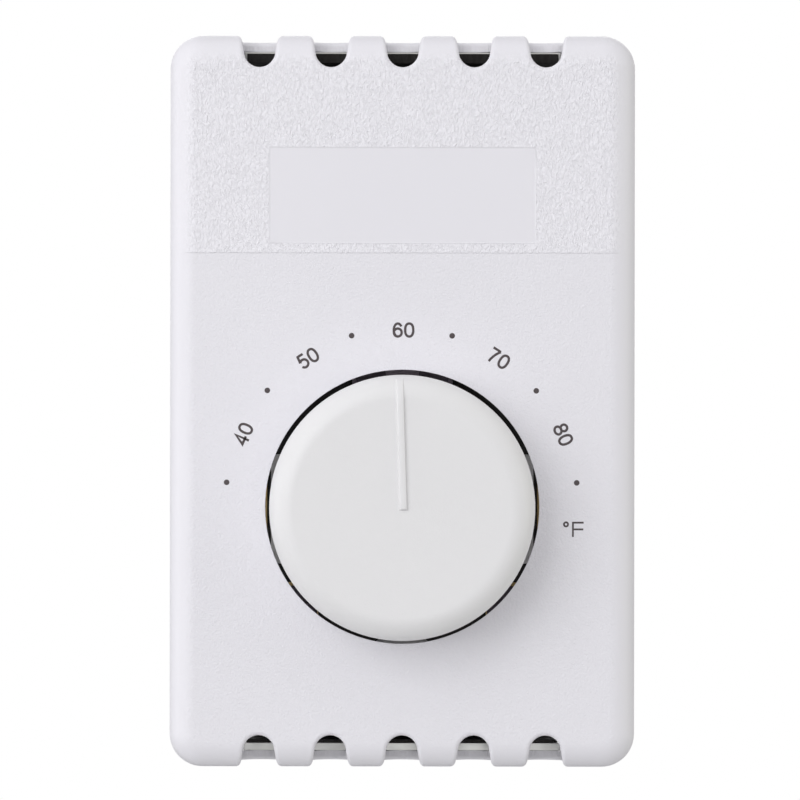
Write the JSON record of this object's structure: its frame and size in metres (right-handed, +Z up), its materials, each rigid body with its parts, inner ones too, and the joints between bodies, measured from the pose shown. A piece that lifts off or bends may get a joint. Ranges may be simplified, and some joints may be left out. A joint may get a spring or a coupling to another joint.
{
  "type": "wall thermostat",
  "caption": "Line-voltage wall thermostat: clip-on plastic cover with air notches and a round dial with a pointer rib, over a steel wall plate, cam, bimetal strip and switch contacts.",
  "frame": {"origin": "on the wall plane, at the centre of the wall plate's back, midway between its two screw holes", "axes": "+Z up, +X to the right seen from the front, the dial faces -Y and the wall is on the +Y side"},
  "size_m": [0.073, 0.0405, 0.1148],
  "materials": {
    "cover_plastic": "fine leather grain",
    "knob_plastic": "smooth satin",
    "plated_steel": "yellow-white zinc plate",
    "spring_steel": "bright drawn wire and clip",
    "screw_steel": "bright zinc",
    "ground_green": "green dyed zinc",
    "fibre": "black vulcanised fibre",
    "phenolic": "black-brown phenolic moulding",
    "brass": "stamped",
    "bronze": "phosphor bronze spring strip",
    "silver": "silver contact button",
    "bimetal": "rolled bimetal",
    "magnet": "sintered",
    "soft_iron": "stamped soft iron",
    "white_ceramic": "unglazed steatite",
    "resistor_brown": "enamelled"
  },
  "bodies": {
    "housing": {"cover": "cover_plastic", "mounting_plate": "plated_steel", "insulator_sheet": "fibre", "switch_base": "phenolic", "base_rivets": "screw_steel", "line_terminal": "brass", "load_terminal": "brass", "terminal_screws": "screw_steel", "ground_screw": "ground_green", "dial_bracket": "plated_steel", "bracket_screws": "screw_steel", "shaft_bushing": "brass", "stop_pins": "screw_steel", "guide_screws": "screw_steel", "spring_bracket": "plated_steel", "spring_bracket_rivets": "screw_steel", "blade_clamp": "brass", "blade_rivets": "brass", "fixed_contact": "silver", "snap_magnet": "magnet", "anticipator_resistor": "resistor_brown", "resistor_leads": "screw_steel", "carriage_spring": "spring_steel"},
    "dial": {"knob": "knob_plastic", "knob_spring": "spring_steel", "dial_shaft": "screw_steel", "retaining_clip": "spring_steel", "cam": "brass"},
    "carriage": {"carriage": "plated_steel", "follower_pin": "screw_steel", "bimetal_clamp": "plated_steel", "bimetal_rivets": "screw_steel"},
    "bimetal": {"bimetal_strip": "bimetal", "armature": "soft_iron", "calibration_screw": "brass"},
    "push_bar": {"push_bar": "white_ceramic"},
    "blade": {"contact_blade": "bronze", "moving_contact": "silver"}
  },
  "joints": [
    {"name": "dial_turn", "type": "hinge", "parent": "housing", "child": "dial", "pos_m": [0, 0, -0.0165], "axis": [0, 1, 0], "range_deg": [-80.3, 83.8]},
    {"name": "carriage_slide", "type": "slide", "parent": "housing", "child": "carriage", "axis": [0, 0, 1], "range_m": [-0.00088, 0.00084], "deforming": ["carriage_spring"]},
    {"name": "bimetal_flex", "type": "hinge", "parent": "carriage", "child": "bimetal", "pos_m": [-0.0195, -0.02, 0.01255], "axis": [0, -1, 0], "range_deg": [-1, 1], "stiffness_Nm_per_rad": 0.4},
    {"name": "push_bar_slide", "type": "slide", "parent": "housing", "child": "push_bar", "axis": [0, 0, 1], "range_m": [-0.00062, 0.00062]},
    {"name": "blade_flex", "type": "hinge", "parent": "housing", "child": "blade", "pos_m": [-0.019, -0.0125, 0.0248], "axis": [0, -1, 0], "range_deg": [-1.1, 1.1]}
  ],
  "couplings": [
    {"joint": "dial_turn", "follows": "carriage_slide", "rad_per_m": -1666.7},
    {"joint": "bimetal_flex", "follows": "push_bar_slide", "rad_per_m": 28.011},
    {"joint": "blade_flex", "follows": "push_bar_slide", "rad_per_m": 28.409}
  ]
}
